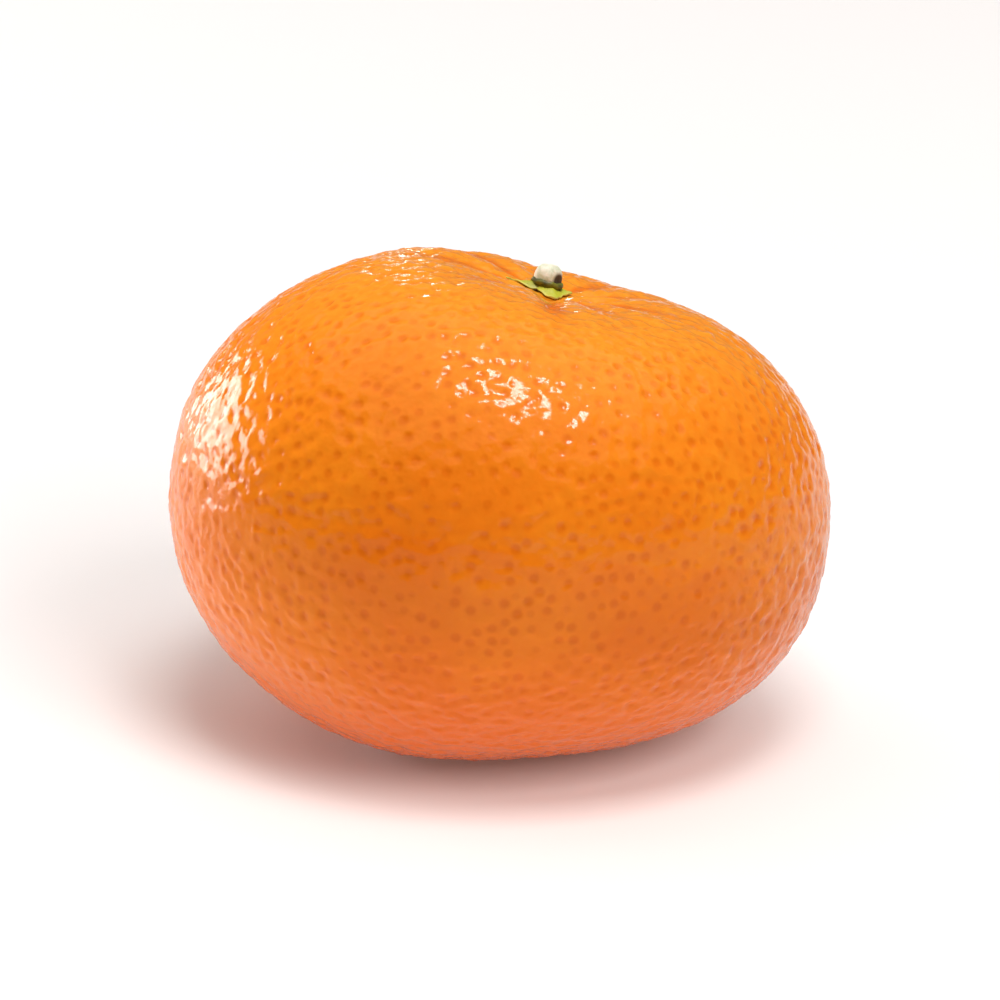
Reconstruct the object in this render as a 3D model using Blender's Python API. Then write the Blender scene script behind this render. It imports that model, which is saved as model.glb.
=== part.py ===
# Mandarin: a flattened fruit that leans on its base, with the calyx and the cut stub of its stem.
# Metres, +Z up. The origin is on the resting plane, below the middle of the fruit.

import math

import bmesh
import bpy
from mathutils import Matrix, Vector

# Fruit body, in its own frame with the stem axis along +Z
EQUATOR_DIAMETER = 0.0660
UPPER_HEIGHT = 0.0249
LOWER_HEIGHT = 0.0254
UPPER_FULLNESS = 2.15
LOWER_FULLNESS = 2.2
UPPER_LOPSIDEDNESS = 0.034
LOWER_LOPSIDEDNESS = 0.10
FRUIT_SEGMENTS = 72
FRUIT_RINGS = 40

# Broad, shallow irregularities: round the stem axis, and from shoulder to base
LOBE_COUNT = 3
LOBE_HEIGHT = 0.0002
FACE_COUNT = 5
FACE_HEIGHT = 0.0003
FACE_TURN = math.radians(109.0)

# Basin round the stem and the furrows that run into it; the stem stands to the right of the axis
STEM_OFFSET = 0.0014
BASIN_DEPTH = 0.0033
BASIN_RADIUS = 0.0098
BASIN_FRONT_RADIUS = 0.015
FURROW_COUNT = 9
FURROW_DEPTH = 0.0005
FURROW_RADIUS = 0.0055

# How the fruit rests
LEAN_RIGHT = math.radians(8.4)
LEAN_BACK = math.radians(9.7)
FLAT_DEPTH = 0.0008

# Calyx
SEPAL_COUNT = 5
CALYX_TIP_RADIUS = 0.0034
CALYX_NOTCH_RADIUS = 0.0021
CALYX_THICKNESS = 0.0005
SEPAL_POINTEDNESS = 0.9
CALYX_SEGMENTS = 30
CALYX_RINGS = 3

# Stem stub
STUB_BASE_DIAMETER = 0.0030
STUB_TOP_DIAMETER = 0.0025
STUB_HEIGHT = 0.0018
STUB_ROUNDING = 0.0006
STUB_SEGMENTS = 24
STUB_ARC_STEPS = 4

# Gap between pieces that touch
CLEARANCE = 0.0003


def clear_scene():
    for existing in list(bpy.data.objects):
        bpy.data.objects.remove(existing, do_unlink=True)


def make_material(name, colour, roughness, metallic):
    material = bpy.data.materials.new(name)
    material.use_nodes = True
    shader = material.node_tree.nodes["Principled BSDF"]
    shader.inputs["Base Color"].default_value = (*colour, 1.0)
    shader.inputs["Roughness"].default_value = roughness
    shader.inputs["Metallic"].default_value = metallic
    return material


def add_object(name, mesh_builder, material, parent):
    mesh = bpy.data.meshes.new(name)
    mesh_builder.normal_update()
    mesh_builder.to_mesh(mesh)
    mesh_builder.free()
    mesh.materials.append(material)
    mesh.shade_smooth()
    mesh.set_sharp_from_angle(angle=math.radians(40.0))
    built = bpy.data.objects.new(name, mesh)
    bpy.context.collection.objects.link(built)
    built.parent = parent
    return built


def plain_radius(polar):
    # Distance from the centre to a superellipse, with its own height and fullness in each half.
    upper = math.cos(polar) > 0.0
    height = UPPER_HEIGHT if upper else LOWER_HEIGHT
    fullness = UPPER_FULLNESS if upper else LOWER_FULLNESS
    across = (math.sin(polar) / (EQUATOR_DIAMETER / 2.0)) ** fullness
    along = (abs(math.cos(polar)) / height) ** fullness
    return (across + along) ** (-1.0 / fullness)


def furrow_height(distance, azimuth):
    # Taken from the stem: ridges and furrows are deepest at FURROW_RADIUS and fade to both sides.
    reach = distance / FURROW_RADIUS
    fade = (reach * math.exp(1.0 - reach)) ** 2
    wave = math.cos(FURROW_COUNT * azimuth + math.sin(azimuth))
    return 0.5 * FURROW_DEPTH * fade * wave


def basin_fall(distance, azimuth):
    # Taken from the stem: the basin opens wider to the front.
    frontness = (0.5 - 0.5 * math.sin(azimuth)) ** 2
    radius = BASIN_RADIUS + (BASIN_FRONT_RADIUS - BASIN_RADIUS) * frontness
    return BASIN_DEPTH * math.exp(-((distance / radius) ** 2))


def uneven_height(polar, azimuth):
    # Shallow lobes round the stem axis, and flattened faces seen from the front.
    lobes = LOBE_HEIGHT * math.sin(polar) ** 2 * math.cos(LOBE_COUNT * azimuth)
    sideways = math.sin(polar) * math.sin(azimuth)
    front_angle = math.atan2(math.cos(polar), math.sin(polar) * math.cos(azimuth))
    faces = FACE_HEIGHT * (1.0 - sideways**2) * math.cos(FACE_COUNT * (front_angle - FACE_TURN))
    return lobes + faces


def peel_point(polar, azimuth):
    # Point on the peel, polar angle from the stem axis, in the fruit's own frame.
    radius = plain_radius(polar) + uneven_height(polar, azimuth)
    distance = radius * math.sin(polar)
    x = distance * math.cos(azimuth)
    y = distance * math.sin(azimuth)
    z = radius * math.cos(polar)
    lopsidedness = UPPER_LOPSIDEDNESS if z > 0.0 else LOWER_LOPSIDEDNESS
    z *= 1.0 - lopsidedness * x / (EQUATOR_DIAMETER / 2.0)
    if z > 0.0:
        from_stem = math.hypot(x - STEM_OFFSET, y)
        round_stem = math.atan2(y, x - STEM_OFFSET)
        z += furrow_height(from_stem, round_stem) - basin_fall(from_stem, round_stem)
    return Vector((x, y, z))


def basin_point(distance, azimuth):
    # Point on the peel close to the stem, given its distance and azimuth from the stem.
    x = STEM_OFFSET + distance * math.cos(azimuth)
    y = distance * math.sin(azimuth)
    return peel_point(math.atan2(math.hypot(x, y), UPPER_HEIGHT), math.atan2(y, x))


def build_fruit(lean):
    # The body is cut level where it rests. Returns the mesh and where its frame goes.
    body = bmesh.new()
    bmesh.ops.create_uvsphere(body, u_segments=FRUIT_SEGMENTS, v_segments=FRUIT_RINGS, radius=1.0)
    for vert in body.verts:
        azimuth = math.atan2(vert.co.y, vert.co.x)
        polar = math.acos(max(-1.0, min(1.0, vert.co.z)))
        vert.co = peel_point(polar, azimuth)

    leaning = [lean @ vert.co for vert in body.verts]
    middle_x = (min(p.x for p in leaning) + max(p.x for p in leaning)) / 2.0
    middle_y = (min(p.y for p in leaning) + max(p.y for p in leaning)) / 2.0
    rest_level = min(p.z for p in leaning) + FLAT_DEPTH
    to_own_frame = lean.inverted()

    everything = body.verts[:] + body.edges[:] + body.faces[:]
    cut = bmesh.ops.bisect_plane(
        body,
        geom=everything,
        plane_co=to_own_frame @ Vector((0.0, 0.0, rest_level)),
        plane_no=to_own_frame @ Vector((0.0, 0.0, -1.0)),
        clear_outer=True,
    )
    rim = [item for item in cut["geom_cut"] if isinstance(item, bmesh.types.BMEdge)]
    bmesh.ops.contextual_create(body, geom=rim)
    return body, Vector((-middle_x, -middle_y, -rest_level))


def calyx_radius(azimuth):
    # Pointed sepal tips with rounded notches between them.
    away_from_tip = abs(math.sin(0.5 * SEPAL_COUNT * azimuth)) ** SEPAL_POINTEDNESS
    return CALYX_TIP_RADIUS + (CALYX_NOTCH_RADIUS - CALYX_TIP_RADIUS) * away_from_tip


def build_calyx():
    # A round sheet drawn into a star, laid on the peel; the modifier gives it its thickness.
    star = bmesh.new()
    rings = range(CALYX_RINGS + 1)
    spoke = [star.verts.new((math.sqrt(ring / CALYX_RINGS), 0.0, 0.0)) for ring in rings]
    edges = [star.edges.new(pair) for pair in zip(spoke[:-1], spoke[1:])]
    bmesh.ops.spin(
        star,
        geom=spoke + edges,
        axis=(0.0, 0.0, 1.0),
        angle=math.tau,
        steps=CALYX_SEGMENTS,
        use_merge=True,
    )
    bmesh.ops.remove_doubles(star, verts=star.verts[:], dist=1e-6)
    for vert in star.verts:
        azimuth = math.atan2(vert.co.y, vert.co.x)
        distance = vert.co.length * calyx_radius(azimuth)
        vert.co = basin_point(distance, azimuth) + Vector((0.0, 0.0, CLEARANCE))
    bmesh.ops.recalc_face_normals(star, faces=star.faces[:])
    star.normal_update()
    if sum(face.normal.z for face in star.faces) < 0.0:
        bmesh.ops.reverse_faces(star, faces=star.faces[:])
    return star


def stub_seat():
    # Height of the stub's foot in the fruit's frame: clear of the highest point of the calyx below.
    around = [math.tau * step / CALYX_SEGMENTS for step in range(CALYX_SEGMENTS)]
    highest = max(basin_point(STUB_BASE_DIAMETER / 2.0, azimuth).z for azimuth in around)
    return highest + CLEARANCE + CALYX_THICKNESS + CLEARANCE


def build_stub():
    # A turned, slightly tapered peg with a rounded top edge.
    foot = stub_seat()
    top = foot + STUB_HEIGHT
    arc_centre_x = STUB_TOP_DIAMETER / 2.0 - STUB_ROUNDING
    arc_centre_z = top - STUB_ROUNDING
    outline = [(0.0, foot), (STUB_BASE_DIAMETER / 2.0, foot)]
    for step in range(STUB_ARC_STEPS + 1):
        angle = 0.5 * math.pi * step / STUB_ARC_STEPS
        x = arc_centre_x + STUB_ROUNDING * math.cos(angle)
        z = arc_centre_z + STUB_ROUNDING * math.sin(angle)
        outline.append((x, z))
    outline.append((0.0, top))

    peg = bmesh.new()
    profile = [peg.verts.new((x, 0.0, z)) for x, z in outline]
    edges = [peg.edges.new(pair) for pair in zip(profile[:-1], profile[1:])]
    bmesh.ops.spin(
        peg,
        geom=profile + edges,
        axis=(0.0, 0.0, 1.0),
        angle=math.tau,
        steps=STUB_SEGMENTS,
        use_merge=True,
    )
    bmesh.ops.remove_doubles(peg, verts=peg.verts[:], dist=1e-6)
    bmesh.ops.translate(peg, verts=peg.verts[:], vec=(STEM_OFFSET, 0.0, 0.0))
    bmesh.ops.recalc_face_normals(peg, faces=peg.faces[:])
    return peg


def main():
    clear_scene()
    peel_material = make_material("peel", (0.90, 0.24, 0.015), 0.30, 0.0)
    calyx_material = make_material("calyx", (0.30, 0.33, 0.04), 0.55, 0.0)
    stem_material = make_material("stem", (0.42, 0.42, 0.26), 0.75, 0.0)

    lean = Matrix.Rotation(-LEAN_BACK, 3, "X") @ Matrix.Rotation(LEAN_RIGHT, 3, "Y")
    body, place = build_fruit(lean)

    stem_frame = bpy.data.objects.new("stem_frame", None)
    bpy.context.collection.objects.link(stem_frame)
    stem_frame.matrix_world = Matrix.Translation(place) @ lean.to_4x4()

    add_object("fruit", body, peel_material, stem_frame)
    calyx = add_object("calyx", build_calyx(), calyx_material, stem_frame)
    thickness = calyx.modifiers.new("thickness", "SOLIDIFY")
    thickness.thickness = CALYX_THICKNESS
    thickness.offset = 1.0
    add_object("stem_stub", build_stub(), stem_material, stem_frame)
    bpy.context.view_layer.update()


main()
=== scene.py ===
import math

import bpy
import bmesh
from mathutils import Matrix, Vector


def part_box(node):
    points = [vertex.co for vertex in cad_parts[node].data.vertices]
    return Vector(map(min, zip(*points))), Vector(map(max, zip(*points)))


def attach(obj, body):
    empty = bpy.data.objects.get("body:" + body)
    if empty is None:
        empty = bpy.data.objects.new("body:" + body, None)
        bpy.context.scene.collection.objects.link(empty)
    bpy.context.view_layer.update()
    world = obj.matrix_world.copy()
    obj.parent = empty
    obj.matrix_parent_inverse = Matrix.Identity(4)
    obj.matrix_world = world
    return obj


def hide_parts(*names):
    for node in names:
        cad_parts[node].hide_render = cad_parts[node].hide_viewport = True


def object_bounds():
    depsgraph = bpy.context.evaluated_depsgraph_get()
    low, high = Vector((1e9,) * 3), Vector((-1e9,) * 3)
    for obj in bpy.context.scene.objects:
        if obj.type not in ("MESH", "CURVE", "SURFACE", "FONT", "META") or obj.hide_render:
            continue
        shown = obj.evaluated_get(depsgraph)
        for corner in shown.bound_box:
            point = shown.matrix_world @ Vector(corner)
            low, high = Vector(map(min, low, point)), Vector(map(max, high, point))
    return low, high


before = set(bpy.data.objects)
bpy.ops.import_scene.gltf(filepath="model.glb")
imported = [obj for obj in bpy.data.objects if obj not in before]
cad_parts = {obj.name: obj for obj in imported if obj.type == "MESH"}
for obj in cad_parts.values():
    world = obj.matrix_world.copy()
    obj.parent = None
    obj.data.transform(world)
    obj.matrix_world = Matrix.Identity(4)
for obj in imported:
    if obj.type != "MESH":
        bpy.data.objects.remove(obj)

# A whole mandarin on a white table: pitted glossy peel, green calyx and the cut stub of its stem.

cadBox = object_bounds()
scene = bpy.context.scene

# All lengths are in metres. The shape values are the ones that the CAD body is made with.
fruitShape = {
    "equatorRadius": 0.0330,
    "upperHeight": 0.0249,
    "lowerHeight": 0.0254,
    "upperFullness": 2.15,
    "lowerFullness": 2.2,
    "upperLopsidedness": 0.034,
    "lowerLopsidedness": 0.10,
    "lobeCount": 3.0,
    "lobeHeight": 0.0002,
    "faceCount": 5.0,
    "faceHeight": 0.0003,
    "faceTurn": math.radians(109.0),
    "stemOffset": 0.0014,
    "basinDepth": 0.0033,
    "basinRadius": 0.0098,
    "basinFrontRadius": 0.015,
    "furrowCount": 9.0,
    "furrowDepth": 0.0005,
    "furrowRadius": 0.0055,
    "flatDepth": 0.0008,
    "leanRight": math.radians(8.4),
    "leanBack": math.radians(9.7),
}

lean = Matrix.Rotation(-fruitShape["leanBack"], 3, "X") @ Matrix.Rotation(fruitShape["leanRight"], 3, "Y")
stemAxis = lean @ Vector((0.0, 0.0, 1.0))


# ---- node helpers

def enabledSocket(sockets, name):
    # Several sockets may share a name, and only the one for the chosen data type is enabled.
    return next(socket for socket in sockets if socket.name == name and socket.enabled)


def wire(tree, socket, value):
    if isinstance(value, Field):
        value = value.socket
    if isinstance(value, bpy.types.NodeSocket):
        tree.links.new(value, socket)
    else:
        socket.default_value = value


def addNode(tree, kind, inputs=None, **settings):
    node = tree.nodes.new(kind)
    for name, value in settings.items():
        setattr(node, name, value)
    for name, value in (inputs or {}).items():
        socket = node.inputs[name] if isinstance(name, int) else enabledSocket(node.inputs, name)
        wire(tree, socket, value)
    return node


class Field:
    # A value that varies over a surface. Arithmetic on it adds Math nodes to its tree.
    def __init__(self, tree, socket):
        self.tree = tree
        self.socket = socket

    def calc(self, operation, *others):
        node = self.tree.nodes.new("ShaderNodeMath")
        node.operation = operation
        for socket, value in zip(node.inputs, (self,) + others):
            wire(self.tree, socket, value)
        return Field(self.tree, node.outputs[0])

    def __add__(self, other):
        return self.calc("ADD", other)

    def __sub__(self, other):
        return self.calc("SUBTRACT", other)

    def __mul__(self, other):
        return self.calc("MULTIPLY", other)

    def __truediv__(self, other):
        return self.calc("DIVIDE", other)

    def __pow__(self, other):
        return self.calc("POWER", other)

    def __neg__(self):
        return self.calc("MULTIPLY", -1.0)

    def above(self, level):
        return self.calc("GREATER_THAN", level)

    def choose(self, whenOne, whenZero):
        # This field is a 0 or 1 switch between two others.
        return (whenOne - whenZero) * self + whenZero


def vectorMath(tree, operation, *values):
    node = tree.nodes.new("ShaderNodeVectorMath")
    node.operation = operation
    for socket, value in zip(node.inputs, values):
        wire(tree, socket, value)
    scalarResult = operation in ("LENGTH", "DISTANCE", "DOT_PRODUCT")
    return Field(tree, node.outputs["Value" if scalarResult else "Vector"])


def splitVector(tree, vector):
    node = addNode(tree, "ShaderNodeSeparateXYZ", {"Vector": vector})
    return [Field(tree, output) for output in node.outputs]


def joinVector(tree, x, y, z):
    return Field(tree, addNode(tree, "ShaderNodeCombineXYZ", {"X": x, "Y": y, "Z": z}).outputs[0])


def scaled(tree, vector, factor):
    node = addNode(tree, "ShaderNodeVectorMath", {"Vector": vector, "Scale": factor}, operation="SCALE")
    return Field(tree, node.outputs[0])


def fadeBetween(value, low, high, toLow=0.0, toHigh=1.0):
    # A soft step, which runs backwards when low is the larger limit.
    node = addNode(value.tree, "ShaderNodeMapRange", {
        "Value": value, "From Min": low, "From Max": high, "To Min": toLow, "To Max": toHigh},
        interpolation_type="SMOOTHSTEP")
    return Field(value.tree, node.outputs[0])


def noise(tree, position, scale, detail=3.0, roughness=0.5):
    node = addNode(tree, "ShaderNodeTexNoise", {
        "Vector": position, "Scale": scale, "Detail": detail, "Roughness": roughness})
    return Field(tree, node.outputs["Fac"])


def storeAttribute(tree, geometry, name, dataType, domain, value):
    node = addNode(tree, "GeometryNodeStoreNamedAttribute", {
        "Geometry": geometry, "Name": name, "Value": value}, data_type=dataType, domain=domain)
    return node.outputs[0]


def randomBetween(tree, low, high, seed):
    node = addNode(tree, "FunctionNodeRandomValue", {
        "Min": low, "Max": high, "Seed": seed}, data_type="FLOAT")
    return Field(tree, enabledSocket(node.outputs, "Value"))


def newGeometryTree(name, inputs):
    # inputs maps each input's name to its socket type. Returns the tree and its inputs as fields.
    tree = bpy.data.node_groups.new(name, "GeometryNodeTree")
    for inputName, kind in inputs.items():
        tree.interface.new_socket(inputName, in_out="INPUT", socket_type="NodeSocket" + kind)
    tree.interface.new_socket("Geometry", in_out="OUTPUT", socket_type="NodeSocketGeometry")
    source = tree.nodes.new("NodeGroupInput")
    fields = {inputName: Field(tree, source.outputs[inputName]) for inputName in inputs}
    return tree, fields


def finishGeometryTree(tree, geometry, material):
    realized = addNode(tree, "GeometryNodeRealizeInstances", {"Geometry": geometry})
    painted = addNode(tree, "GeometryNodeSetMaterial", {
        "Geometry": realized.outputs[0], "Material": material})
    target = tree.nodes.new("NodeGroupOutput")
    tree.links.new(painted.outputs[0], target.inputs[0])


def meshFromTree(pieceName, tree, values):
    # Runs the tree once and keeps its result as a plain mesh.
    piece = bpy.data.objects.new(pieceName, bpy.data.meshes.new(pieceName))
    scene.collection.objects.link(piece)
    modifier = piece.modifiers.new("shape", "NODES")
    modifier.node_group = tree
    for item in tree.interface.items_tree:
        if item.in_out == "INPUT":
            modifier[item.identifier] = values[item.name]
    depsgraph = bpy.context.evaluated_depsgraph_get()
    result = bpy.data.meshes.new_from_object(
        piece.evaluated_get(depsgraph), preserve_all_data_layers=True, depsgraph=depsgraph)
    piece.modifiers.remove(modifier)
    piece.data = result
    result.name = pieceName
    print(pieceName, "faces:", len(result.polygons))
    return piece


# ---- peel shape

peelDetail = {
    "cellsPerSide": 128,
    "flatSoftness": 0.0006,
    "furrowWander": 0.9,
    "creaseAngle": math.radians(-86.0),
    "creaseReach": 0.0215,
    "creaseWidth": 0.0016,
    "creaseDepth": 0.00050,
    "creaseStart": 0.0012,
    "creaseFull": 0.0030,
    "creaseFade": 0.35,
    "scarRadius": 0.0011,
    "scarDepth": 0.00045,
    "pebbleSize": 0.0015,
    "pebbleHeight": 0.00052,
    "glandSpacing": 0.00120,
    "glandRadius": 0.00074,
    "glandDepth": 0.00013,
    "glandSeed": 7,
    "glandDensity": 1.2,
    "smallestGland": 0.65,
    "smoothFoot": 0.0012,
}


def superellipse(shape, direction):
    # Distance from the centre along a unit direction, with its own height and fullness in each half.
    tree = direction.tree
    x, y, z = splitVector(tree, direction)
    across = vectorMath(tree, "LENGTH", joinVector(tree, x, y, 0.0))
    upper = z.above(0.0)
    height = upper.choose(shape["upperHeight"], shape["lowerHeight"])
    fullness = upper.choose(shape["upperFullness"], shape["lowerFullness"])
    widePart = (across / shape["equatorRadius"]) ** fullness
    tallPart = (z.calc("ABSOLUTE") / height) ** fullness
    return (widePart + tallPart) ** (-(fullness ** -1.0))


def unevenHeight(shape, direction):
    # Shallow lobes round the stem axis, and flattened faces from shoulder to base.
    x, y, z = splitVector(direction.tree, direction)
    azimuth = y.calc("ARCTAN2", x)
    frontAngle = z.calc("ARCTAN2", x)
    roundness = x * x + y * y
    lobes = shape["lobeHeight"] * roundness * (azimuth * shape["lobeCount"]).calc("COSINE")
    faceWave = ((frontAngle - shape["faceTurn"]) * shape["faceCount"]).calc("COSINE")
    faces = shape["faceHeight"] * (-(y * y) + 1.0) * faceWave
    return lobes + faces


def geometryNoise(tree, position, size, detail=2.0):
    # Centred on zero, about half a unit either way.
    return noise(tree, position, size ** -1.0, detail) - 0.5


def furrowWave(shape, x, y, distance):
    # Ridges and furrows that run into the stem, each a little stronger or weaker than the next.
    tree = x.tree
    azimuth = y.calc("ARCTAN2", x)
    heading = joinVector(tree, x / distance, y / distance, 0.0)
    wander = geometryNoise(tree, heading, shape["furrowWander"])
    reach = distance / (shape["furrowRadius"] * (wander * 1.2 + 1.0))
    fade = (reach * (-reach + 1.0).calc("EXPONENT")) ** 2.0
    turned = azimuth * shape["furrowCount"] + azimuth.calc("SINE") + wander * shape["furrowWander"] * 4.0
    return fade * turned.calc("COSINE") * (wander * 1.4 + 0.8)


def stemCrease(shape, x, y):
    # One longer valley that runs from the stem down the shoulder: 1 along its line, 0 away from it.
    alongX, alongY = shape["creaseAngle"].calc("COSINE"), shape["creaseAngle"].calc("SINE")
    along = x * alongX + y * alongY
    across = x * alongY - y * alongX
    width = shape["creaseWidth"] * (along / shape["creaseReach"] * 0.8 + 0.6)
    valley = (-((across / width) ** 2.0)).calc("EXPONENT")
    start = fadeBetween(along, shape["creaseStart"], shape["creaseFull"])
    end = -fadeBetween(along / shape["creaseReach"], shape["creaseFade"], 1.0) + 1.0
    return valley * start * end


def buildPeelTree():
    names = {name: "Float" for name in fruitShape if not name.startswith("lean")}
    names.update({name: "Float" for name in peelDetail})
    names.update({"cellsPerSide": "Int", "glandSeed": "Int", "leanRotation": "Vector", "boxSize": "Vector",
                  "restPoint": "Vector", "material": "Material"})
    tree, shape = newGeometryTree("peelSurface", names)

    # A cube of even cells blown up to a ball keeps its triangles nearly equal and has no poles.
    cells = shape["cellsPerSide"] + 1.0
    cube = addNode(tree, "GeometryNodeMeshCube", {
        "Size": (2.0, 2.0, 2.0), "Vertices X": cells, "Vertices Y": cells, "Vertices Z": cells})
    start = Field(tree, tree.nodes.new("GeometryNodeInputPosition").outputs[0])
    spread = vectorMath(tree, "TANGENT", vectorMath(tree, "MULTIPLY", start, (math.pi / 4.0,) * 3))
    direction = vectorMath(tree, "NORMALIZE", spread)

    radius = superellipse(shape, direction) + unevenHeight(shape, direction)
    x, y, z = splitVector(tree, direction)
    x, y, z = x * radius, y * radius, z * radius
    upper = z.above(0.0)
    lopsidedness = upper.choose(shape["upperLopsidedness"], shape["lowerLopsidedness"])
    z = z * (-(lopsidedness * x / shape["equatorRadius"]) + 1.0)
    fullX = x
    x = x - upper * shape["stemOffset"]
    distance = vectorMath(tree, "LENGTH", joinVector(tree, x, y, 0.0)) + 0.00001
    frontness = (-(y / distance) * 0.5 + 0.5) ** 2.0
    basinReach = shape["basinRadius"] + (shape["basinFrontRadius"] - shape["basinRadius"]) * frontness
    basin = shape["basinDepth"] * (-((distance / basinReach) ** 2.0)).calc("EXPONENT")
    crease = stemCrease(shape, x, y)
    furrows = furrowWave(shape, x, y, distance) * (-crease + 1.0)
    scar = (-upper + 1.0) * (-((distance / shape["scarRadius"]) ** 2.0)).calc("EXPONENT")
    z = z - upper * (basin + crease * shape["creaseDepth"]) + upper * furrows * shape["furrowDepth"] * 0.5
    z = z + scar * shape["scarDepth"]

    # The marks are stored while every point still stands on the plain ball.
    marked = cube.outputs["Mesh"]
    marks = {"furrow": upper * furrows - upper * crease, "stemDistance": distance,
             "upperSide": upper, "scar": scar}
    for name, value in marks.items():
        marked = storeAttribute(tree, marked, name, "FLOAT", "POINT", value)
    body = addNode(tree, "GeometryNodeSetPosition", {
        "Geometry": marked, "Position": joinVector(tree, fullX, y, z)})
    return tree, shape, body.outputs[0]


def finishPeelTree():
    tree, shape, body = buildPeelTree()
    smooth = addNode(tree, "GeometryNodeSetShadeSmooth", {"Geometry": body}).outputs[0]
    leaning = addNode(tree, "GeometryNodeTransform", {
        "Geometry": smooth, "Rotation": shape["leanRotation"]}).outputs[0]

    # Fit the leaning body to the box of the CAD fruit, then press its foot flat with a soft edge.
    bounds = addNode(tree, "GeometryNodeBoundBox", {"Geometry": leaning})
    low, high = Field(tree, bounds.outputs["Min"]), Field(tree, bounds.outputs["Max"])
    span = vectorMath(tree, "SUBTRACT", high, low)
    flat = joinVector(tree, 0.0, 0.0, shape["flatDepth"])
    wanted = vectorMath(tree, "ADD", shape["boxSize"], flat)
    half = vectorMath(tree, "MULTIPLY", vectorMath(tree, "ADD", high, low), (0.5, 0.5, 0.0))
    lowZ = vectorMath(tree, "MULTIPLY", low, (0.0, 0.0, 1.0))
    foot = vectorMath(tree, "ADD", half, lowZ)
    here = tree.nodes.new("GeometryNodeInputPosition").outputs[0]
    fitted = vectorMath(tree, "MULTIPLY", vectorMath(tree, "SUBTRACT", here, foot),
                        vectorMath(tree, "DIVIDE", wanted, span))
    fitted = vectorMath(tree, "SUBTRACT", vectorMath(tree, "ADD", fitted, shape["restPoint"]), flat)
    px, py, pz = splitVector(tree, fitted)
    pressed = pz.calc("SMOOTH_MAX", 0.0, shape["flatSoftness"])
    placed = addNode(tree, "GeometryNodeSetPosition", {
        "Geometry": leaning, "Position": joinVector(tree, px, py, pressed)}).outputs[0]

    # Oil glands: evenly spread points, each with its own size.
    scattered = addNode(tree, "GeometryNodeDistributePointsOnFaces", {
        "Mesh": placed, "Distance Min": shape["glandSpacing"],
        "Density Max": shape["glandSpacing"] ** -2.0 * shape["glandDensity"], "Seed": shape["glandSeed"]},
        distribute_method="POISSON").outputs["Points"]
    size = randomBetween(tree, shape["smallestGland"], 1.0, shape["glandSeed"])
    glands = storeAttribute(tree, scattered, "size", "FLOAT", "POINT", size)
    nearest = addNode(tree, "GeometryNodeSampleNearest", {"Geometry": glands}, domain="POINT").outputs[0]
    glandCentre = sampleGland(tree, glands, nearest, "FLOAT_VECTOR",
                              tree.nodes.new("GeometryNodeInputPosition").outputs[0])
    sizeName = addNode(tree, "GeometryNodeInputNamedAttribute", {"Name": "size"}, data_type="FLOAT")
    glandSize = sampleGland(tree, glands, nearest, "FLOAT", enabledSocket(sizeName.outputs, "Attribute"))

    marked = storeAttribute(tree, placed, "glandCentre", "FLOAT_VECTOR", "FACE", glandCentre)
    marked = storeAttribute(tree, marked, "glandSize", "FLOAT", "FACE", glandSize)
    position = Field(tree, tree.nodes.new("GeometryNodeInputPosition").outputs[0])
    away = vectorMath(tree, "DISTANCE", position, glandCentre)
    pit = (-((away / (shape["glandRadius"] * glandSize)) ** 2.0) * 2.0).calc("EXPONENT")
    standing = fadeBetween(splitVector(tree, position)[2], 0.0, shape["smoothFoot"])
    pebbles = geometryNoise(tree, position, shape["pebbleSize"], 1.0) * shape["pebbleHeight"] * standing
    normal = tree.nodes.new("GeometryNodeInputNormal").outputs[0]
    rise = pebbles - pit * shape["glandDepth"] * glandSize * standing
    pitted = addNode(tree, "GeometryNodeSetPosition", {
        "Geometry": marked, "Offset": scaled(tree, normal, rise)})
    finishGeometryTree(tree, pitted.outputs[0], shape["material"])
    return tree


def sampleGland(tree, glands, index, dataType, value):
    node = addNode(tree, "GeometryNodeSampleIndex", {
        "Geometry": glands, "Value": value, "Index": index}, data_type=dataType, domain="POINT")
    return Field(tree, enabledSocket(node.outputs, "Value"))


# ---- materials

def newMaterial(name):
    material = bpy.data.materials.new(name)
    material.use_nodes = True
    return material, material.node_tree, material.node_tree.nodes["Principled BSDF"]


def rgb(colour):
    return (colour[0], colour[1], colour[2], 1.0)


def mixColour(tree, factor, first, second):
    node = addNode(tree, "ShaderNodeMix", data_type="RGBA")
    wire(tree, node.inputs["Factor"], factor)
    wire(tree, node.inputs[6], first)
    wire(tree, node.inputs[7], second)
    return node.outputs[2]


def newSurfaceGroup():
    # Soft patches and a fine grain that every skin of the fruit shares, each with its own values.
    group = bpy.data.node_groups.new("skinVariation", "ShaderNodeTree")
    kinds = {"Position": "Vector", "Patch Size": "Float", "Grain Size": "Float", "Spread": "Float"}
    for name, kind in kinds.items():
        group.interface.new_socket(name, in_out="INPUT", socket_type="NodeSocket" + kind)
    for name in ("Patches", "Grain"):
        group.interface.new_socket(name, in_out="OUTPUT", socket_type="NodeSocketFloat")
    source = group.nodes.new("NodeGroupInput")
    target = group.nodes.new("NodeGroupOutput")
    position = source.outputs["Position"]
    patchScale = Field(group, source.outputs["Patch Size"]) ** -1.0
    grainScale = Field(group, source.outputs["Grain Size"]) ** -1.0
    halfSpread = Field(group, source.outputs["Spread"]) * 0.5
    patches = noise(group, position, patchScale, 3.0)
    grain = noise(group, position, grainScale, 2.0)
    wire(group, target.inputs["Patches"], fadeBetween(patches, -halfSpread + 0.5, halfSpread + 0.5))
    wire(group, target.inputs["Grain"], grain)
    return group


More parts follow.
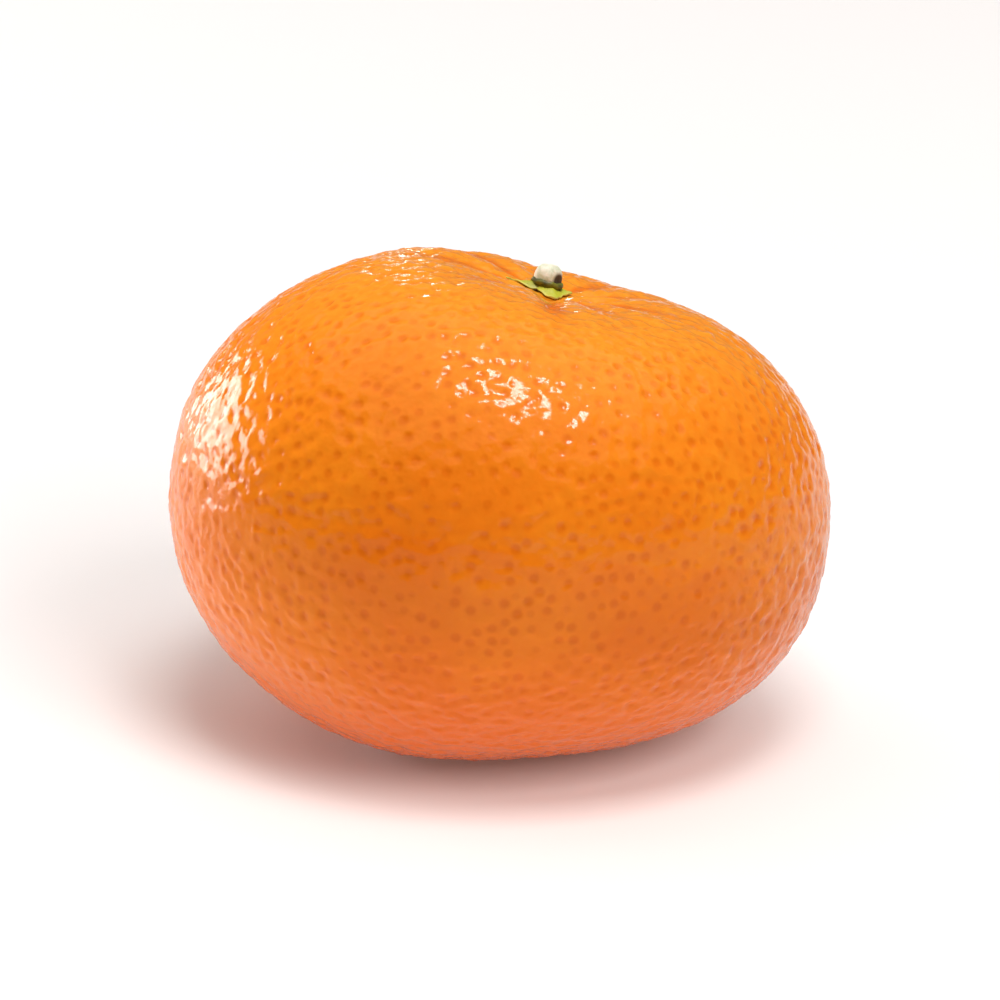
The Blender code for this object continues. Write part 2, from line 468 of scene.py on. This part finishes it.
def skinVariation(tree, position, patchSize, grainSize, spread):
    node = tree.nodes.new("ShaderNodeGroup")
    node.node_tree = surfaceGroup
    for name, value in {"Position": position, "Patch Size": patchSize, "Grain Size": grainSize,
                        "Spread": spread}.items():
        wire(tree, node.inputs[name], value)
    return Field(tree, node.outputs["Patches"]), Field(tree, node.outputs["Grain"])


def attribute(tree, name, output="Fac"):
    return Field(tree, addNode(tree, "ShaderNodeAttribute", attribute_name=name).outputs[output])


def bumpNormal(tree, shader, height):
    bump = addNode(tree, "ShaderNodeBump", {"Height": height, "Strength": 1.0, "Distance": 1.0})
    wire(tree, shader.inputs["Normal"], bump.outputs[0])


def setScatter(shader, look):
    shader.inputs["Subsurface Weight"].default_value = look["scatterWeight"]
    shader.inputs["Subsurface Radius"].default_value = look["scatterRadius"]
    shader.inputs["Subsurface Scale"].default_value = look["scatterScale"]


surfaceGroup = newSurfaceGroup()

peelLook = {
    "brightOrange": (0.94, 0.235, 0.0065),
    "paintedLightOrange": (0.92, 0.325, 0.022),
    "deepOrange": (0.88, 0.182, 0.0045),
    "glandOrange": (0.74, 0.126, 0.001),
    "underShadeOrange": (0.70, 0.112, 0.001),
    "furrowShadeOrange": (0.76, 0.130, 0.002),
    "stemGreen": (0.62, 0.30, 0.012),
    "scarBrown": (0.075, 0.038, 0.014),
    "patchSize": 0.015,
    "grainSize": 0.0004,
    "glandDotCore": 0.00024,
    "glandDotRadius": 0.00082,
    "glandDotStrength": 0.55,
    "pitRadius": 0.00060,
    "pitDepth": 0.00003,
    "pebbleSize": 0.00095,
    "pebbleHeight": 0.00010,
    "grainHeight": 0.000005,
    "roughness": 0.145,
    "gloss": 0.18,
    "patchSpread": 0.35,
    "shoulderReach": (0.012, 0.029),
    "shoulderDots": 0.25,
    "footReach": (0.005, 0.020),
    "footDots": 0.3,
    "paintedLightReach": (0.014, 0.040),
    "paintedLightStrength": 0.9,
    "pebbleHollowShadeStrength": 0.25,
    "underShadeReach": (0.003, 0.024),
    "underShadeStrength": 0.85,
    "furrowShadeStrength": 0.75,
    "greenReach": (0.0026, 0.0050),
    "greenStrength": 0.3,
    "scatterWeight": 0.12,
    "scatterRadius": (1.0, 0.35, 0.08),
    "scatterScale": 0.0025,
}


def makePeelMaterial():
    look = peelLook
    material, tree, shader = newMaterial("waxyPeel")
    position = tree.nodes.new("ShaderNodeTexCoord").outputs["Object"]
    centre = attribute(tree, "glandCentre", "Vector")
    size = attribute(tree, "glandSize")
    furrow = attribute(tree, "furrow")
    stemDistance = attribute(tree, "stemDistance")
    upper = attribute(tree, "upperSide")
    scar = attribute(tree, "scar")
    away = vectorMath(tree, "DISTANCE", position, centre) / size
    patches, grain = skinVariation(tree, position, look["patchSize"], look["grainSize"], look["patchSpread"])
    pebbles = noise(tree, position, look["pebbleSize"] ** -1.0, 1.0, 0.4)

    # Glands darken the skin, and show more on the sides than on the shoulder round the stem.
    sideways = fadeBetween(stemDistance, *look["shoulderReach"], look["shoulderDots"], 1.0)
    dot = fadeBetween(away, look["glandDotCore"], look["glandDotRadius"], 1.0, 0.0)
    aboveFloor = splitVector(tree, position)[2]
    standing = fadeBetween(aboveFloor, *look["footReach"], look["footDots"], 1.0)
    dot = dot * fadeBetween(size, 0.6, 0.95, 0.35, 1.0) * sideways * standing
    pit = fadeBetween(away, 0.0, look["pitRadius"], 1.0, 0.0) * size

    colour = mixColour(tree, patches, rgb(look["deepOrange"]), rgb(look["brightOrange"]))
    # Painted light: the upper half near the stem is made paler and yellower, standing in for the stronger
    # light that falls on the top.
    paintedLight = fadeBetween(stemDistance, *look["paintedLightReach"], look["paintedLightStrength"], 0.0) * upper
    colour = mixColour(tree, paintedLight, colour, rgb(look["paintedLightOrange"]))
    # Painted shade: the hollows between the pebbles are darkened towards the deep orange.
    valley = fadeBetween(pebbles, 0.62, 0.38, 0.0, look["pebbleHollowShadeStrength"])
    colour = mixColour(tree, valley, colour, rgb(look["deepOrange"]))
    # Painted shade: the peel is made a darker, deeper orange towards the floor, standing in for the shade
    # under the fruit.
    low = fadeBetween(aboveFloor, *look["underShadeReach"], look["underShadeStrength"], 0.0)
    colour = mixColour(tree, low, colour, rgb(look["underShadeOrange"]))
    # Painted shade: the furrows and the crease below the stem are darkened, standing in for the shade that
    # falls in them.
    furrowShade = fadeBetween(furrow, -0.05, -0.9, 0.0, look["furrowShadeStrength"])
    colour = mixColour(tree, furrowShade, colour, rgb(look["furrowShadeOrange"]))
    nearStem = fadeBetween(stemDistance, *look["greenReach"], 1.0, 0.0) * upper
    colour = mixColour(tree, nearStem * look["greenStrength"], colour, rgb(look["stemGreen"]))
    colour = mixColour(tree, dot * look["glandDotStrength"], colour, rgb(look["glandOrange"]))
    scarMask = fadeBetween(scar, 0.35, 0.6)
    colour = mixColour(tree, scarMask * 0.9, colour, rgb(look["scarBrown"]))
    wire(tree, shader.inputs["Base Color"], colour)

    roughness = grain * 0.06 + dot * 0.05 + scarMask * 0.4 + (look["roughness"] - 0.03)
    wire(tree, shader.inputs["Roughness"], roughness)
    height = pebbles * look["pebbleHeight"] - pit * look["pitDepth"] + grain * look["grainHeight"]
    bumpNormal(tree, shader, height)
    shader.inputs["Specular IOR Level"].default_value = look["gloss"]
    setScatter(shader, look)
    return material


calyxLook = {
    "deepOlive": (0.035, 0.034, 0.003),
    "youngGreen": (0.50, 0.50, 0.020),
    "paleRim": (0.76, 0.76, 0.150),
    "dryBrown": (0.130, 0.070, 0.020),
    "patchSize": 0.0012,
    "grainSize": 0.00022,
    "grainHeight": 0.00003,
    "roughness": 0.50,
    "patchSpread": 0.4,
    "scatterWeight": 0.1,
    "scatterRadius": (0.4, 0.6, 0.1),
    "scatterScale": 0.0006,
}


def makeCalyxMaterial():
    look = calyxLook
    material, tree, shader = newMaterial("greenCalyx")
    position = tree.nodes.new("ShaderNodeTexCoord").outputs["Object"]
    along = attribute(tree, "along")
    edge = attribute(tree, "edge")
    tone = attribute(tree, "tone")
    patches, grain = skinVariation(tree, position, look["patchSize"], look["grainSize"], look["patchSpread"])
    colour = mixColour(tree, along * 0.9 + tone * 0.7, rgb(look["deepOlive"]), rgb(look["youngGreen"]))
    colour = mixColour(tree, patches * 0.4, colour, rgb(look["youngGreen"]))
    colour = mixColour(tree, fadeBetween(edge, 0.55, 1.0, 0.0, 0.75), colour, rgb(look["paleRim"]))
    speck = fadeBetween(grain, 0.66, 0.74)
    dryTip = fadeBetween(along, 0.82, 1.0) * patches
    colour = mixColour(tree, (speck * 0.6).calc("MAXIMUM", dryTip * 0.55), colour, rgb(look["dryBrown"]))
    wire(tree, shader.inputs["Base Color"], colour)
    wire(tree, shader.inputs["Roughness"], grain * 0.2 + speck * 0.15 + (look["roughness"] - 0.1))
    bumpNormal(tree, shader, grain * look["grainHeight"] + patches * look["grainHeight"])
    setScatter(shader, look)
    return material


stubLook = {
    "paleWood": (0.95, 0.94, 0.78),
    "greyGreen": (0.58, 0.62, 0.40),
    "oliveFootShade": (0.035, 0.036, 0.005),
    "scarBrown": (0.035, 0.018, 0.008),
    "cutFace": (0.80, 0.71, 0.53),
    "patchSize": 0.0009,
    "grainSize": 0.00016,
    "grainHeight": 0.00004,
    "roughness": 0.66,
    "patchSpread": 0.4,
}


def makeStubMaterial():
    look = stubLook
    material, tree, shader = newMaterial("driedStem")
    position = tree.nodes.new("ShaderNodeTexCoord").outputs["Object"]
    height = attribute(tree, "height")
    nick = attribute(tree, "nick")
    cut = attribute(tree, "cutFace")
    patches, grain = skinVariation(tree, position, look["patchSize"], look["grainSize"], look["patchSpread"])
    colour = mixColour(tree, patches, rgb(look["greyGreen"]), rgb(look["paleWood"]))
    colour = mixColour(tree, cut * 0.7, colour, rgb(look["cutFace"]))
    # The foot of the stub is a dark olive: partly its own colour, partly painted shade where it meets the
    # calyx and the peel.
    foot = fadeBetween(height + grain * 0.12, 0.36, 0.58, 1.0, 0.0)
    colour = mixColour(tree, foot * 0.92, colour, rgb(look["oliveFootShade"]))
    crack = fadeBetween(grain, 0.66, 0.78) * 0.5
    sunken = fadeBetween(nick, 0.10, 0.45, 0.0, 0.95)
    colour = mixColour(tree, sunken.calc("MAXIMUM", crack), colour, rgb(look["scarBrown"]))
    wire(tree, shader.inputs["Base Color"], colour)
    wire(tree, shader.inputs["Roughness"], grain * 0.2 + (look["roughness"] - 0.1))
    bumpNormal(tree, shader, grain * look["grainHeight"] - nick * look["grainHeight"])
    return material


# ---- build

fruitLow, fruitHigh = (Vector(corner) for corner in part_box("fruit"))
restPoint = Vector(((fruitLow.x + fruitHigh.x) / 2.0, (fruitLow.y + fruitHigh.y) / 2.0, fruitLow.z))
peelValues = {name: value for name, value in fruitShape.items() if not name.startswith("lean")}
peelValues.update(peelDetail)
peelValues.update({
    "leanRotation": lean.to_euler(),
    "boxSize": fruitHigh - fruitLow,
    "restPoint": restPoint,
    "material": makePeelMaterial(),
})
peel = meshFromTree("peel", finishPeelTree(), peelValues)
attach(peel, "root")
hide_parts("fruit")

# ---- calyx: short sepals round the stem that hug the peel

calyxDetail = {
    "sepalCount": 5,
    "sepalSeed": 11,
    "sepalStart": 0.0006,
    "sepalLength": 0.0032,
    "sepalHalfWidth": 0.00116,
    "sepalThickness": 0.00038,
    "sepalTurn": math.radians(42.0),
    "crowding": math.radians(35.0),
    "crowdTurn": math.radians(197.0),
    "longSide": math.radians(173.0),
    "lengthSpread": 0.20,
    "hubLift": 0.0010,
    "tipCurl": 0.00020,
    "collarRadius": 0.00132,
    "collarThickness": 0.00036,
    "midribHeight": 0.00006,
    "cupHeight": 0.00010,
    "buckleHeight": 0.00028,
    "turnSpread": 0.08,
    "rayStart": 0.01,
    "rayLength": 0.03,
}


def boxGrid(tree, countX, countY, countZ):
    # A closed box of small faces. Returns it with u from 0 to 1 along x, and v and w from -1 to 1 across.
    cube = addNode(tree, "GeometryNodeMeshCube", {
        "Size": (1.0, 2.0, 2.0), "Vertices X": countX, "Vertices Y": countY, "Vertices Z": countZ})
    u, v, w = splitVector(tree, tree.nodes.new("GeometryNodeInputPosition").outputs[0])
    return cube.outputs["Mesh"], u + 0.5, v, w


def buildSepal(tree, shape):
    mesh, u, v, w = boxGrid(tree, 9, 7, 2)
    shown = storeAttribute(tree, mesh, "along", "FLOAT", "POINT", u)
    rim = (v ** 2.0) * 0.8 + (u ** 4.0) * 0.8
    shown = storeAttribute(tree, shown, "edge", "FLOAT", "POINT", rim.calc("MINIMUM", 1.0))
    outline = (-((u ** 2.2) * 0.86) + 1.0) * ((u * math.pi).calc("SINE") * 0.22 + 1.0)
    thickness = shape["sepalThickness"] * (-((v ** 2.0) * 0.55) + 1.0) * (-((u ** 2.0) * 0.45) + 1.0)
    hub = shape["hubLift"] * ((-u + 1.0) ** 1.3) * (-((v ** 2.0) * 0.8) + 1.0)
    midrib = (-((v * 4.0) ** 2.0)).calc("EXPONENT") * shape["midribHeight"]
    lift = hub + shape["tipCurl"] * (u ** 3.0) + (v ** 2.0) * shape["cupHeight"] + midrib
    bent = addNode(tree, "GeometryNodeSetPosition", {"Geometry": shown, "Position": joinVector(
        tree, shape["sepalStart"] + shape["sepalLength"] * (u - (v ** 2.0) * u * 0.12),
        v * outline * shape["sepalHalfWidth"], w * thickness * 0.5 + lift)})
    return bent.outputs[0]


def buildCollar(tree, shape):
    ring = addNode(tree, "GeometryNodeCurvePrimitiveCircle", {
        "Resolution": 40, "Radius": shape["collarRadius"]}, mode="RADIUS")
    profile = addNode(tree, "GeometryNodeCurvePrimitiveCircle", {
        "Resolution": 10, "Radius": shape["collarThickness"]}, mode="RADIUS")
    tube = addNode(tree, "GeometryNodeCurveToMesh", {
        "Curve": ring.outputs[0], "Profile Curve": profile.outputs[0]}).outputs[0]
    for name, value in {"along": 0.0, "edge": 0.3, "tone": 0.05}.items():
        tube = storeAttribute(tree, tube, name, "FLOAT", "POINT", value)
    lifted = joinVector(tree, 0.0, 0.0, shape["hubLift"])
    return addNode(tree, "GeometryNodeSetPosition", {"Geometry": tube, "Offset": lifted}).outputs[0]


def buildCalyxTree():
    names = {name: "Float" for name in calyxDetail}
    names.update({"sepalCount": "Int", "sepalSeed": "Int", "leanRotation": "Vector", "stemPoint": "Vector",
                  "stemAxis": "Vector", "peel": "Object", "material": "Material"})
    tree, shape = newGeometryTree("calyxSepals", names)
    seed = shape["sepalSeed"]

    # The sepals stand round the stem as turned and scaled copies of one.
    index = Field(tree, tree.nodes.new("GeometryNodeInputIndex").outputs[0])
    spots = addNode(tree, "GeometryNodePoints", {"Count": shape["sepalCount"]}).outputs[0]
    evenTurn = index / shape["sepalCount"] * (2.0 * math.pi) + shape["sepalTurn"]
    crowded = (evenTurn - shape["crowdTurn"]).calc("SINE") * shape["crowding"]
    turn = evenTurn + crowded + randomBetween(tree, -shape["turnSpread"], shape["turnSpread"], seed)
    length = (turn - shape["longSide"]).calc("COSINE") * shape["lengthSpread"] + 0.9
    size = joinVector(tree, length, randomBetween(tree, 0.85, 1.15, seed + 2.0), 1.0)
    copies = addNode(tree, "GeometryNodeInstanceOnPoints", {
        "Points": spots, "Instance": buildSepal(tree, shape), "Rotation": joinVector(tree, 0.0, 0.0, turn),
        "Scale": size}).outputs[0]
    tone = randomBetween(tree, 0.1, 1.0, seed + 3.0)
    copies = storeAttribute(tree, copies, "tone", "FLOAT", "INSTANCE", tone)
    whole = addNode(tree, "GeometryNodeRealizeInstances", {"Geometry": copies}).outputs[0]
    joined = tree.nodes.new("GeometryNodeJoinGeometry")
    for part in (whole, buildCollar(tree, shape)):
        tree.links.new(part, joined.inputs[0])
    rounded = addNode(tree, "GeometryNodeSubdivisionSurface", {
        "Mesh": joined.outputs[0], "Level": 1}).outputs[0]

    # Uneven growth, then every point is set down on the peel and keeps its own height above it.
    position = Field(tree, tree.nodes.new("GeometryNodeInputPosition").outputs[0])
    buckle = geometryNoise(tree, position, shape["sepalLength"] * 0.55, 2.0) * shape["buckleHeight"]
    grown = addNode(tree, "GeometryNodeSetPosition", {
        "Geometry": rounded, "Offset": joinVector(tree, 0.0, 0.0, buckle)}).outputs[0]
    height = splitVector(tree, tree.nodes.new("GeometryNodeInputPosition").outputs[0])[2]
    grown = storeAttribute(tree, grown, "lift", "FLOAT", "POINT", height)
    placed = addNode(tree, "GeometryNodeTransform", {
        "Geometry": grown, "Rotation": shape["leanRotation"], "Translation": shape["stemPoint"]}).outputs[0]
    liftName = addNode(tree, "GeometryNodeInputNamedAttribute", {"Name": "lift"}, data_type="FLOAT")
    lift = Field(tree, enabledSocket(liftName.outputs, "Attribute"))
    here = tree.nodes.new("GeometryNodeInputPosition").outputs[0]
    base = vectorMath(tree, "SUBTRACT", here, scaled(tree, shape["stemAxis"], lift))
    high = vectorMath(tree, "ADD", base, scaled(tree, shape["stemAxis"], shape["rayStart"]))
    target = addNode(tree, "GeometryNodeObjectInfo", {"Object": shape["peel"]}).outputs["Geometry"]
    ray = addNode(tree, "GeometryNodeRaycast", {
        "Target Geometry": target, "Source Position": high,
        "Ray Direction": scaled(tree, shape["stemAxis"], -1.0), "Ray Length": shape["rayLength"]})
    settled = vectorMath(tree, "ADD", ray.outputs["Hit Position"], scaled(tree, shape["stemAxis"], lift))
    resting = addNode(tree, "GeometryNodeSetPosition", {"Geometry": placed, "Position": settled}).outputs[0]
    smooth = addNode(tree, "GeometryNodeSetShadeSmooth", {"Geometry": resting}).outputs[0]
    finishGeometryTree(tree, smooth, shape["material"])
    return tree


def faceOutward(piece):
    shell = bmesh.new()
    shell.from_mesh(piece.data)
    bmesh.ops.recalc_face_normals(shell, faces=shell.faces)
    shell.to_mesh(piece.data)
    shell.free()


stubLow, stubHigh = (Vector(corner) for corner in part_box("stem_stub"))
stubCentre = (stubLow + stubHigh) / 2.0
bpy.context.view_layer.update()
peelHit = peel.ray_cast(stubCentre + stemAxis * 0.01, -stemAxis)[1]
calyxValues = dict(calyxDetail)
calyxValues.update({
    "leanRotation": lean.to_euler(),
    "stemPoint": peelHit,
    "stemAxis": stemAxis,
    "peel": peel,
    "material": makeCalyxMaterial(),
})
calyx = meshFromTree("calyxSepals", buildCalyxTree(), calyxValues)
faceOutward(calyx)
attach(calyx, "root")
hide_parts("calyx")

# ---- stem stub: the short dry end of the stalk, rounded over, with a small scar

stubDetail = {
    "segments": 64,
    "rings": 44,
    "radius": 0.00144,
    "squareness": 2.4,
    "taper": 0.08,
    "ribCount": 5.0,
    "ribHeight": 0.045,
    "cutDip": 0.14,
    "nickX": 0.84,
    "nickY": -0.52,
    "nickZ": -0.14,
    "nickSize": 0.50,
    "nickDepth": 0.16,
    "gnarl": 0.10,
    "gnarlSize": 0.0028,
}


def buildStubTree():
    names = {name: "Float" for name in stubDetail}
    names.update({"segments": "Int", "rings": "Int", "halfHeight": "Float", "leanRotation": "Vector",
                  "centre": "Vector", "material": "Material"})
    tree, shape = newGeometryTree("stemStub", names)
    ball = addNode(tree, "GeometryNodeMeshUVSphere", {
        "Segments": shape["segments"], "Rings": shape["rings"], "Radius": 1.0}).outputs["Mesh"]
    direction = Field(tree, tree.nodes.new("GeometryNodeInputPosition").outputs[0])
    x, y, z = splitVector(tree, direction)
    across = vectorMath(tree, "LENGTH", joinVector(tree, x, y, 0.0))
    power = shape["squareness"]
    reach = (across ** power + z.calc("ABSOLUTE") ** power) ** (-(power ** -1.0))
    azimuth = y.calc("ARCTAN2", x)
    ribs = (azimuth * shape["ribCount"] + 0.6).calc("COSINE") * shape["ribHeight"] * across
    flattened = vectorMath(tree, "MULTIPLY", direction, (1.0, 1.0, 0.6))
    gnarl = geometryNoise(tree, flattened, shape["radius"] / shape["gnarlSize"], 3.0)
    nickPlace = joinVector(tree, shape["nickX"], shape["nickY"], shape["nickZ"])
    nickAway = vectorMath(tree, "DISTANCE", direction, nickPlace) / shape["nickSize"]
    nick = (-(nickAway ** 2.0)).calc("EXPONENT")
    cut = fadeBetween(z, 0.70, 0.93)
    swell = reach * (ribs + gnarl * shape["gnarl"] + 1.0) - nick * shape["nickDepth"]
    width = shape["radius"] * swell * (-(z * shape["taper"]) + 1.0)
    tall = shape["halfHeight"] * (swell - cut * shape["cutDip"] * (-((across * 2.4) ** 2.0)).calc("EXPONENT"))
    for name, value in {"height": z * 0.5 + 0.5, "nick": nick, "cutFace": cut}.items():
        ball = storeAttribute(tree, ball, name, "FLOAT", "POINT", value)
    formed = addNode(tree, "GeometryNodeSetPosition", {
        "Geometry": ball, "Position": joinVector(tree, x * width, y * width, z * tall)}).outputs[0]
    return tree, shape, formed


def finishStubTree():
    tree, shape, formed = buildStubTree()
    placed = addNode(tree, "GeometryNodeTransform", {
        "Geometry": formed, "Rotation": shape["leanRotation"], "Translation": shape["centre"]}).outputs[0]
    smooth = addNode(tree, "GeometryNodeSetShadeSmooth", {"Geometry": placed}).outputs[0]
    finishGeometryTree(tree, smooth, shape["material"])
    return tree


stubFit = {
    "topDrop": 0.00028,
    "footDepth": 0.0001,
}

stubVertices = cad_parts["stem_stub"].data.vertices
stubTop = max(vertex.co.dot(stemAxis) for vertex in stubVertices) - stubFit["topDrop"]
stubFoot = peelHit.dot(stemAxis) - stubFit["footDepth"]
stubValues = dict(stubDetail)
stubValues.update({
    "halfHeight": (stubTop - stubFoot) / 2.0,
    "leanRotation": lean.to_euler(),
    "centre": stubCentre + stemAxis * ((stubTop + stubFoot) / 2.0 - stubCentre.dot(stemAxis)),
    "material": makeStubMaterial(),
})
stub = meshFromTree("stemStub", finishStubTree(), stubValues)
faceOutward(stub)
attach(stub, "root")
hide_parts("stem_stub")

# ---- stage

stageLook = {
    "floorSize": 6.0,
    "floorColour": (0.66, 0.645, 0.635),
    "floorRoughness": 0.6,
    "floorGloss": 0.2,
    "floorPaintedGlow": 0.13,
    "paintedBounceColour": (0.76, 0.54, 0.46),
    "surroundLight": 0.10,
    "backdropLight": 0.95,
}

cameraView = {
    "elevation": math.radians(18.0),
    "focalLength": 200.0,
    "fruitShare": 0.66,
    "nearClip": 0.01,
}

softLights = {
    "overheadKey": {"towards": (0.19, -0.10, 0.98), "distance": 1.0, "size": (0.21, 0.25), "radiance": 44.5,
                    "onto": "fruit"},
    "overheadFill": {"towards": (0.0, 0.0, 1.0), "distance": 1.4, "size": (2.6, 2.6), "radiance": 0.80,
                     "onto": "all"},
    "leftStrip": {"towards": (-0.83, 0.56, 0.01), "distance": 0.7, "size": (0.48, 0.44), "radiance": 9.0,
                  "onto": "all"},
    "backGlint": {"towards": (-0.05, 0.97, 0.20), "distance": 1.0, "size": (0.05, 0.015), "radiance": 44.0,
                  "onto": "fruit"},
    "tableKey": {"towards": (0.10, -0.45, 0.88), "distance": 2.0, "size": (0.75, 0.75), "radiance": 15.5,
                 "onto": "floor"},
    "tableFill": {"towards": (0.42, -0.72, 0.55), "distance": 2.4, "size": (1.05, 1.05), "radiance": 15.0,
                  "onto": "floor"},
}


def buildStage():
    floorMesh = bpy.data.meshes.new("floor")
    half = stageLook["floorSize"] / 2.0
    corners = [(-half, -half, 0.0), (half, -half, 0.0), (half, half, 0.0), (-half, half, 0.0)]
    floorMesh.from_pydata(corners, [], [(0, 1, 2, 3)])
    floor = bpy.data.objects.new("floor", floorMesh)
    scene.collection.objects.link(floor)
    floor.location.z = cadBox[0][2]
    material, tree, shader = newMaterial("whiteFloor")
    shader.inputs["Base Color"].default_value = rgb(stageLook["floorColour"])
    # Painted light: the floor glows faintly with a warm tint, which lightens and pinks the fruit's shadow
    # like light bounced from the peel, and also lights the fruit.
    shader.inputs["Emission Color"].default_value = rgb(stageLook["paintedBounceColour"])
    shader.inputs["Emission Strength"].default_value = stageLook["floorPaintedGlow"]
    shader.inputs["Roughness"].default_value = stageLook["floorRoughness"]
    shader.inputs["Specular IOR Level"].default_value = stageLook["floorGloss"]
    floorMesh.materials.append(material)

    # A pale backdrop that hardly lights the fruit, so that the large lamps alone shape it.
    world = bpy.data.worlds.new("studio")
    world.use_nodes = True
    tree = world.node_tree
    background = tree.nodes["Background"]
    background.inputs["Color"].default_value = (1.0, 1.0, 1.0, 1.0)
    seen = Field(tree, tree.nodes.new("ShaderNodeLightPath").outputs["Is Camera Ray"])
    spread = stageLook["backdropLight"] - stageLook["surroundLight"]
    wire(tree, background.inputs["Strength"], seen * spread + stageLook["surroundLight"])
    scene.world = world
    scene.view_settings.view_transform = "Standard"


def buildLights(target):
    # Some lamps reach only the floor or only the fruit. The fruit still shades the floor from the first kind.
    receivers = {"floor": [bpy.data.objects["floor"]], "fruit": [peel, calyx, stub]}
    groups = {}
    for name, members in receivers.items():
        groups[name] = bpy.data.collections.new(name + "Only")
        for member in members:
            groups[name].objects.link(member)
    for name, light in softLights.items():
        lamp = bpy.data.lights.new(name, "AREA")
        lamp.shape = "RECTANGLE"
        lamp.size, lamp.size_y = light["size"]
        lamp.energy = light["radiance"] * math.pi * lamp.size * lamp.size_y
        holder = bpy.data.objects.new(name, lamp)
        scene.collection.objects.link(holder)
        towards = Vector(light["towards"]).normalized()
        holder.location = target + towards * light["distance"]
        holder.rotation_euler = towards.to_track_quat("Z", "Y").to_euler()
        if light["onto"] in groups:
            holder.light_linking.receiver_collection = groups[light["onto"]]


def buildCamera(target, width):
    camera = bpy.data.cameras.new("camera")
    camera.lens = cameraView["focalLength"]
    frameWidth = width / cameraView["fruitShare"]
    distance = frameWidth * camera.lens / camera.sensor_width
    holder = bpy.data.objects.new("camera", camera)
    scene.collection.objects.link(holder)
    back = Vector((0.0, -math.cos(cameraView["elevation"]), math.sin(cameraView["elevation"])))
    holder.location = target + back * distance
    holder.rotation_euler = back.to_track_quat("Z", "Y").to_euler()
    camera.clip_start = cameraView["nearClip"]
    scene.camera = holder


middle = (fruitLow + fruitHigh) / 2.0
buildStage()
print("floor and backdrop stand")
buildLights(middle)
buildCamera(middle, fruitHigh.x - fruitLow.x)
print(len(softLights), "lamps and the camera are set")
